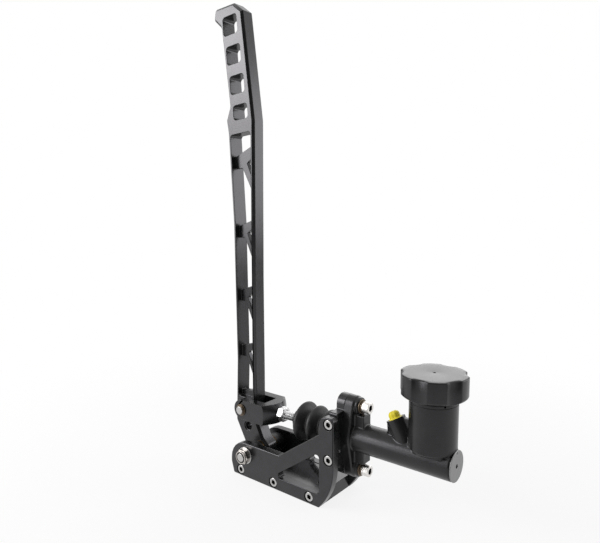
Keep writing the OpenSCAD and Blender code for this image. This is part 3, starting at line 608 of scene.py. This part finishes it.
def dress_spring():
    """Coil of seven turns: a circle of radius 0.8 carried round the bore on radius 7.62. Its ends close."""
    low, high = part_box("return_spring")
    wire, coil, turns = 0.8, 7.62, 7
    steps, sides = turns * 40, 12
    s = np.linspace(0, 1, steps + 1)[:, None]
    a = s * turns * TURN
    b = around(sides)[None, :]
    swell = np.clip(np.minimum(s, 1 - s) * 400, 0, 1)
    r = coil + wire * swell * np.cos(b)
    start = low.x / MM + wire
    end = high.x / MM - wire
    x = start + (end - start) * s + wire * swell * np.sin(b)
    points = np.stack([x, r * np.cos(a), ROD_AXIS_Z + r * np.sin(a)], -1).reshape(-1, 3)
    i = np.arange(steps)[:, None] * sides
    j = np.arange(sides)[None, :]
    k = (j + 1) % sides
    faces = np.stack([i + j, i + k, i + sides + k, i + sides + j], -1).reshape(-1, 4)
    spring = piece("coil_spring", (points, faces), STAINLESS, "stainless", "base", "return_spring", crease=60)
    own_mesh(spring)


dress_boot()
dress_spring()


# Cylinder casting, cap and plug


def flange_reach(sides):
    """Distance from the rod's axis to the flange's edge: the nearest of the edges of its two-lobed outline,
    each edge's offset over the cosine between its normal and the ray."""
    waist, lobe = 15.2, 8.5
    lean = math.asin((waist - lobe) / BOLT_RISE)
    upper = np.linspace(lean, math.pi - lean, 40)
    right = np.linspace(-lean, lean, 9)
    points = np.concatenate([
        waist * np.stack([np.cos(right), np.sin(right)], -1),
        lobe * np.stack([np.cos(upper), np.sin(upper)], -1) + [0, BOLT_RISE],
        waist * np.stack([np.cos(right + math.pi), np.sin(right + math.pi)], -1),
        lobe * np.stack([np.cos(upper + math.pi), np.sin(upper + math.pi)], -1) - [0, BOLT_RISE],
    ])
    edge = np.roll(points, -1, 0) - points
    normal = np.stack([edge[:, 1], -edge[:, 0]], -1)
    offset = (normal * points).sum(1)
    # The frame of the X axis has its first vector along Y
    angles = around(sides)
    ray = np.stack([np.cos(angles), np.sin(angles)], -1)
    facing = ray @ normal.T
    return np.where(facing > 1e-6, offset / np.maximum(facing, 1e-6), 1e9).min(1)


def block(low, high):
    """Box between two corners as a shell: its eight corners and six faces."""
    low, high = np.asarray(low, float), np.asarray(high, float)
    bits = np.array([[i & 1, i >> 1 & 1, i >> 2 & 1] for i in range(8)])
    faces = np.array([[0, 2, 3, 1], [4, 5, 7, 6], [0, 1, 5, 4], [2, 6, 7, 3], [0, 4, 6, 2], [1, 3, 7, 5]])
    return low + bits * (high - low), faces


def cut_away(made, shell):
    """Takes a shell out of an object with a Boolean that is applied at once."""
    cutter = bpy.data.objects.new("cutter", merged_mesh("cutter", shell))
    bpy.context.scene.collection.objects.link(cutter)
    change = made.modifiers.new("cut", "BOOLEAN")
    change.operation = "DIFFERENCE"
    change.solver = "MANIFOLD"
    change.object = cutter
    keep_modifiers(made)
    bpy.data.objects.remove(cutter)


def keep_modifiers(made):
    """Replaces an object's mesh by what its modifiers make of it."""
    state = bpy.context.evaluated_depsgraph_get()
    mesh = bpy.data.meshes.new_from_object(made.evaluated_get(state))
    made.modifiers.clear()
    made.data = mesh


def rod_bar(start, end, r, soft=0.6):
    """Solid bar on the rod's axis with softened ends."""
    bar = softened([(0, start), (r, start), (r, end), (0, end)], [0, soft, soft, 0])
    return lathe(bar, ROD_LINE)


def port_bar(start, end, low_r, high_r, soft=0.6):
    """Solid cone on the outlet's axis with softened ends."""
    bar = softened([(0, start), (low_r, start), (high_r, end), (0, end)], [0, soft, soft, 0])
    return lathe(bar, PORT_LINE)


def raw_casting():
    """Flange, tube, spigot, bolt bosses, bowl, outlet boss and ribs as overlapping shells."""
    sides = 192
    steps = np.array([[0, 54.0], [0, 54.0], [0, 62.6], [0.3, 63.2], [0.9, 63.5], [0, 63.5]])
    flange_r = flange_reach(sides)[None, :] - steps[:, :1]
    flange_r[[0, -1]] = 0
    flange = turned(flange_r, steps[:, 1], ROD_LINE, sides)
    boss = softened([(0, 56), (7.6, 56), (7.6, 67), (0, 67)], [0, 0, 0.8, 0])
    bosses = lathe(boss, [((0, 0, ROD_AXIS_Z + s * BOLT_RISE), (1, 0, 0)) for s in (-1, 1)])
    flange_rib = block((57, -6, ROD_AXIS_Z - 21.9), (72.8, 6, ROD_AXIS_Z + 21.9))
    bowl_web = block((103, -2.2, ROD_AXIS_Z), (118, 2.2, 91.0))
    heel = lathe([(0, -22), (4.6, -22), (4.6, 0), (0, 0)], [((97.6, 0, 85.0), (-1.9, 0, 22.0))])
    foot = [(0, 69.0), (16.5, 69.0), (16.5, 72.0), (19.5, 72.0)]
    rim = [(19.5, 114.0), (18.9, 114.0), (18.9, 125.5), (0, 125.5)]
    bowl = lathe(softened(foot + rim, [0, 0.5, 0, 0.8, 0.4, 0, 0.4, 0]), BOWL_LINE, FINE_SIDES)
    tube = rod_bar(42.0, 155.0, 12.7)
    spigot = rod_bar(42.0, 58.0, 13.8)
    outlet = port_bar(6.0, PORT_REACH + 1, 8.8, 8.3)
    return together(tube, spigot, flange, bosses, bowl, outlet, heel, flange_rib, bowl_web)


def machined_cuts():
    """What is cut from the casting: end faces, bores, a groove under the cap, a bevel, a small hole and the
    port."""
    rim_groove = [(19.05, 110.7), (23, 110.7), (23, 111.4), (19.05, 111.4)]
    end_bevel = [(12.72, 152.7), (12.95, 152.7), (12.95, 154.5), (11.4, 154.5), (11.4, 154.02)]
    pin_hole = [(0, 17.5), (0.9, 17.5), (0.9, 24), (0, 24)]
    return [
        block((30, -40, 0), (43.0, 40, 120)),
        block((154.0, -14, 40), (170, 14, 76)),
        port_bar(PORT_REACH, PORT_REACH + 9, 20, 20, 0),
        rod_bar(30, 170, 9.525, 0),
        lathe([(0, 79), (16.5, 79), (16.5, 130), (0, 130)], BOWL_LINE, FINE_SIDES),
        lathe(rim_groove, BOWL_LINE, FINE_SIDES, True),
        lathe(end_bevel, ROD_LINE, FINE_SIDES, True),
        lathe(pin_hole, [((BOWL_X, 0, 112.6), (0.777, -0.629, 0))], 24),
        port_bar(4.0, PORT_REACH - 12.9, 2.0, 2.0, 0),
        port_bar(PORT_REACH - 13, PORT_REACH + 5, 4.5, 4.5, 0),
        port_bar(PORT_REACH - 2, PORT_REACH + 5, 6.6, 6.6, 0),
    ]


def dress_casting():
    """The raw casting is grown together by a fine remesh and smoothed, which leaves cast fillets. Machined
    faces are cut afterwards and stay sharp."""
    casting = piece("cylinder_casting", raw_casting(), CASTING, "black_casting", "base", "cylinder_body")
    grow = casting.modifiers.new("grow", "REMESH")
    grow.mode = "VOXEL"
    grow.voxel_size = 0.5 * MM
    ease = casting.modifiers.new("ease", "SMOOTH")
    ease.factor = 0.5
    ease.iterations = 8
    keep_modifiers(casting)
    for shell in machined_cuts():
        cut_away(casting, shell)
    casting.data.shade_smooth()
    casting.data.set_sharp_from_angle(angle=math.radians(50))


def dress_cap():
    """Scalloped cap: the round profile's radius, or the near side of a scoop where that is less. A scoop of
    radius q with its middle D from the axis is met by a ray at angle f at D cos f - sqrt(q^2 - D^2 sin^2 f).
    A soft minimum of reach 0.25 rounds the corners between scoop and round."""
    sides = FINEST_SIDES
    angles = around(sides)
    outer, scoop, depth = 27.0, 16.0, 2.2
    middle = outer + scoop - depth
    step = TURN / 6
    f = (angles + step / 2) % step - step / 2
    inside = np.maximum(scoop ** 2 - (middle * np.sin(f)) ** 2, 0)
    near = np.where(inside > 0, middle * np.cos(f) - np.sqrt(inside), outer + 9)
    blend = 0.25
    near = -blend * np.log(np.exp(-near / blend) + math.exp(-(outer + 0.2) / blend))
    top = 134.0
    wall = softened([
        (20.1, 127.5), (20.1, 115.5), (25.0, 115.5), (outer, 117.5), (outer, top), (22.0, top), (1.1, top),
        (1.1, 130.5), (14.9, 130.5), (14.9, 127.5)
    ], [0.3, 0.5, 1.2, 1.2, 0.9, 0, 0.3, 0, 0, 0.3], 5, True)
    edge = np.clip(wall[:, 1] - (top - 1), 0, 1)
    limit = near[None, :] - (edge ** 2)[:, None]
    radius = np.minimum(wall[:, :1], limit)
    cap = turned(radius, wall[:, 1], BOWL_LINE, sides, True)
    piece("scalloped_cap", cap, CASTING, "black_casting", "cap", "reservoir_cap", crease=40)


def dress_plug():
    """Soft plug in the outlet: a stem, a flange and a domed head with eight grips that are
    0.35 (1 - cos 8 a) / 2 deep."""
    seat = PORT_REACH - 2
    wall = softened([
        (0, seat - 8), (3.8, seat - 8), (4.2, seat), (6.3, seat), (6.3, seat + 2.0), (5.0, seat + 2.6),
        (4.8, seat + 6.2), (3.2, seat + 8.1), (0, seat + 8.4)
    ], [0, 0.6, 0, 0.3, 0.5, 0.5, 1.2, 1.5, 0], 5)
    grips = 0.35 * (1 - np.cos(8 * around(SIDES))) / 2
    on_head = np.clip((wall[:, 1] - seat - 2.4) / 0.8, 0, 1) * np.clip(wall[:, 0] / 3.0, 0, 1)
    radius = wall[:, :1] - on_head[:, None] * grips[None, :]
    plug = turned(radius, wall[:, 1], PORT_LINE)
    piece("outlet_plug", plug, YELLOW, "yellow_plastic", "plug", "port_plug", crease=60)


dress_casting()
dress_cap()
dress_plug()


# Finishes and soft edges of the solids that stay

FINISHES = {
    ANODISED: ("left_side_plate", "right_side_plate", "cylinder_bracket", "lever", "clevis"),
    GLOSSY_BLACK: ("floor_plate",),
    STAINLESS: ("bracket_dowels", "pivot_sleeve", "circlip", "stop_washer", "spring_seat", "valve_stem"),
    ALUMINIUM: ("end_plug", "piston"),
    BRONZE: ("lever_bushes",),
    RUBBER: ("primary_seal", "secondary_seal", "valve_seal", "cap_diaphragm", "pivot_spacers"),
}
EDGES_MM = {
    "lever": 0.45, "left_side_plate": 0.3, "right_side_plate": 0.3, "floor_plate": 0.5,
    "cylinder_bracket": 0.5, "clevis": 0.5, "end_plug": 0.45,
}


def smooth_faces():
    """Geometry nodes that shade every face smooth."""
    group = bpy.data.node_groups.new("smooth_faces", "GeometryNodeTree")
    group.interface.new_socket("Geometry", in_out="INPUT", socket_type="NodeSocketGeometry")
    group.interface.new_socket("Geometry", in_out="OUTPUT", socket_type="NodeSocketGeometry")
    given = group.nodes.new("NodeGroupInput")
    smooth = group.nodes.new("GeometryNodeSetShadeSmooth")
    result = group.nodes.new("NodeGroupOutput")
    group.links.new(given.outputs[0], smooth.inputs[0])
    group.links.new(smooth.outputs[0], result.inputs[0])
    return group


SMOOTH = smooth_faces()


def soften_edges(solid, width_mm):
    """Joins a solid's loose triangles, merges its flat ones, shades it smooth and rounds each edge that turns
    by over 30 degrees. Normals then follow the large flat faces."""
    weld = solid.modifiers.new("join", "WELD")
    weld.merge_threshold = 2e-6
    flat = solid.modifiers.new("flat_faces", "DECIMATE")
    flat.decimate_type = "DISSOLVE"
    flat.angle_limit = math.radians(0.6)
    shade = solid.modifiers.new("smooth", "NODES")
    shade.node_group = SMOOTH
    edge = solid.modifiers.new("soft_edges", "BEVEL")
    edge.width = width_mm * MM
    edge.segments = 3
    edge.limit_method = "ANGLE"
    edge.angle_limit = math.radians(30)
    edge.use_clamp_overlap = False
    edge.harden_normals = True
    level = solid.modifiers.new("flat_normals", "WEIGHTED_NORMAL")
    level.weight = 100
    level.keep_sharp = True


for material, nodes in FINISHES.items():
    for node in nodes:
        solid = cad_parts[node]
        solid.data.materials.clear()
        solid.data.materials.append(material)
for node, width in EDGES_MM.items():
    soften_edges(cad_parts[node], width)


# Studio


def make_floor():
    """Pale disc under the part. Near the part it is partly matt and takes the shadow. Further out it fades to
    white, and in reflections to dark, as a table does at its end."""
    material, start = new_material("pale_floor")
    place = start.node("ShaderNodeTexCoord", output="Object")
    distance = start.node("ShaderNodeVectorMath", {"operation": "LENGTH"}, {0: place}, "Value")
    rays = start.node("ShaderNodeLightPath", output="Is Camera Ray")
    shine = start.node("ShaderNodeLightPath", output="Is Glossy Ray")
    matt = start.node("ShaderNodeBsdfDiffuse", {}, {"Color": grey(0.9)})
    shadow_edge, near_white, added_white = (0.2, 0.6), 0.84, 0.16
    table_edge, far_dark = (0.7, 1.8), 0.85
    strength = 1 - far_dark * shine * distance.between(*table_edge)
    white = start.node("ShaderNodeEmission", {}, {"Color": grey(1.0), "Strength": strength})
    share = (near_white + added_white * distance.between(*shadow_edge)) * (rays + shine)
    mixed = start.node("ShaderNodeMixShader", {}, {0: share, 1: matt, 2: white})
    start.node("ShaderNodeOutputMaterial", {}, {"Surface": mixed})
    level_mm = -0.05
    disc = [(radius, level_mm) for radius in (0.0, 300.0, 800.0, 3000.0, 9000.0)]
    floor = bpy.data.objects.new("floor", merged_mesh("floor", lathe(disc, [((0, 0, 0), (0, 0, 1))])))
    floor.data.materials.append(material)
    bpy.context.scene.collection.objects.link(floor)


def make_world():
    """White all round for the camera and for reflections, but dark in reflections behind the camera, as a
    room is. A lower white level lights the part."""
    world = bpy.data.worlds.new("studio")
    world.use_nodes = True
    world.node_tree.nodes.clear()
    start = Wire(world.node_tree)
    part_middle = Vector((0.0, 0.0, 0.16))
    towards = Vector(CAMERA_AT) - part_middle
    direction = start.node("ShaderNodeTexCoord", output="Generated")
    facing = start.node("ShaderNodeVectorMath", {"operation": "DOT_PRODUCT"},
                        {0: direction, 1: towards.normalized()}, "Value")
    camera = start.node("ShaderNodeLightPath", output="Is Camera Ray")
    glossy = start.node("ShaderNodeLightPath", output="Is Glossy Ray")
    through = start.node("ShaderNodeLightPath", output="Is Transmission Ray")
    behind_camera, room_dark, fill_level = (0.62, 0.9), 0.93, 0.5
    room = 1 - room_dark * facing.between(*behind_camera)
    level = camera + through + glossy * room
    plain = 1 - start.maths("MINIMUM", camera + through + glossy, 1.0)
    strength = level + fill_level * plain
    light = start.node("ShaderNodeBackground", {}, {"Color": grey(1.0), "Strength": strength})
    start.node("ShaderNodeOutputWorld", {}, {"Surface": light})
    bpy.context.scene.world = world


def make_lamp(name, place, aim, width, height, watts):
    """Soft box at a place, turned towards the point it lights."""
    data = bpy.data.lights.new(name, "AREA")
    data.shape = "RECTANGLE"
    data.size = width
    data.size_y = height
    data.energy = watts
    lamp = bpy.data.objects.new(name, data)
    lamp.location = place
    lamp.rotation_mode = "QUATERNION"
    lamp.rotation_quaternion = (Vector(aim) - Vector(place)).to_track_quat("-Z", "Y")
    lamp.visible_camera = False
    bpy.context.scene.collection.objects.link(lamp)


make_floor()
make_world()
make_lamp("left_soft_box", place=(-0.97, -0.92, 0.80), aim=(-0.05, 0.0, 0.35),
          width=0.9, height=0.42, watts=9.6)
make_lamp("low_left_soft_box", place=(-0.92, -1.02, 0.36), aim=(-0.05, 0.0, 0.25),
          width=0.9, height=0.44, watts=5.4)
make_lamp("back_soft_box", place=(-0.51, 1.38, 0.66), aim=(0.1, 0.0, 0.13),
          width=1.0, height=1.0, watts=4.6)
make_lamp("right_soft_box", place=(1.20, 1.30, 0.58), aim=(0.0, 0.0, 0.25),
          width=1.0, height=1.0, watts=8.6)
bpy.context.scene.view_settings.view_transform = "Standard"
